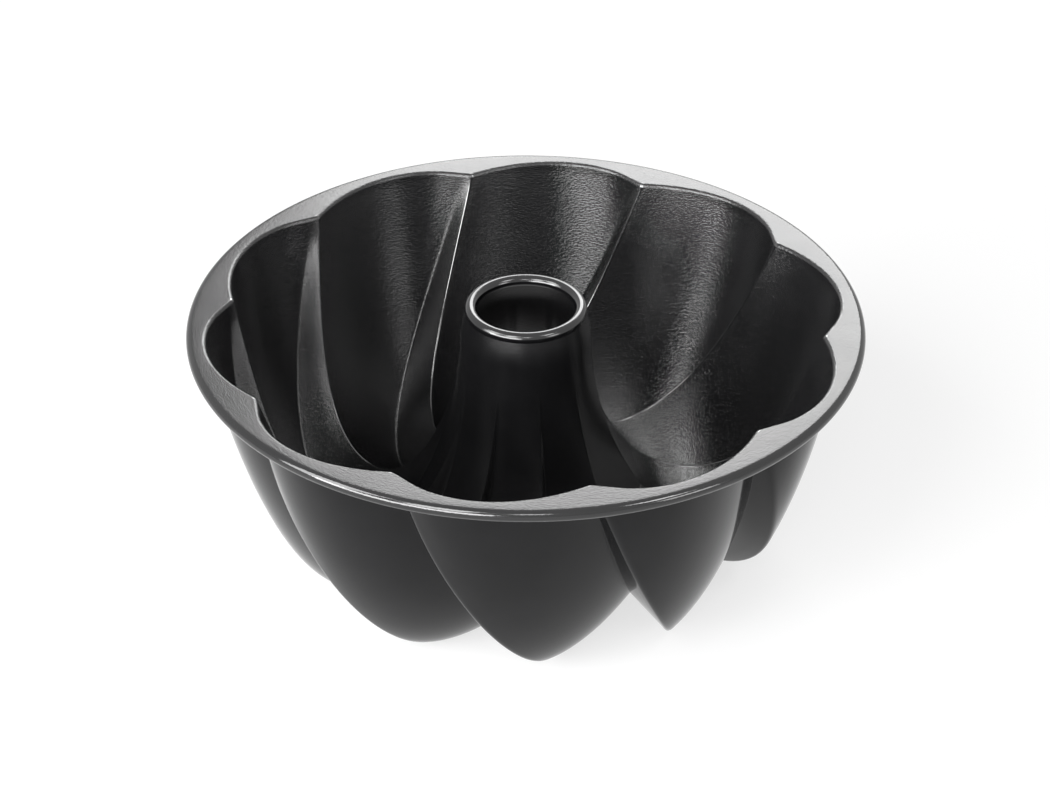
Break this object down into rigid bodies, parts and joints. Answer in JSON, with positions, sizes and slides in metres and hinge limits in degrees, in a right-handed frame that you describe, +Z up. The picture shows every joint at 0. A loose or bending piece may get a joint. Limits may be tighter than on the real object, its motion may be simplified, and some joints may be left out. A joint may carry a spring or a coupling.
{
  "type": "fluted tube cake pan",
  "caption": "Round swirled fluted bundt pan in pressed steel, with a scalloped flat flange, a wired rolled rim and an open fluted centre tube.",
  "frame": {"origin": "on the axis of the centre tube, at the level of the lowest points of the lobes", "axes": "+Z up the axis of the centre tube, towards the open top; +X to the right as seen from the front"},
  "size_m": [0.25, 0.25, 0.1073],
  "materials": {
    "nonstick_steel": "satin non-stick coating",
    "steel_wire": "drawn"
  },
  "bodies": {
    "root": {"fluted_shell": "nonstick_steel", "centre_tube": "nonstick_steel", "rim_wire": "steel_wire", "lip_wire": "steel_wire"}
  },
  "joints": []
}
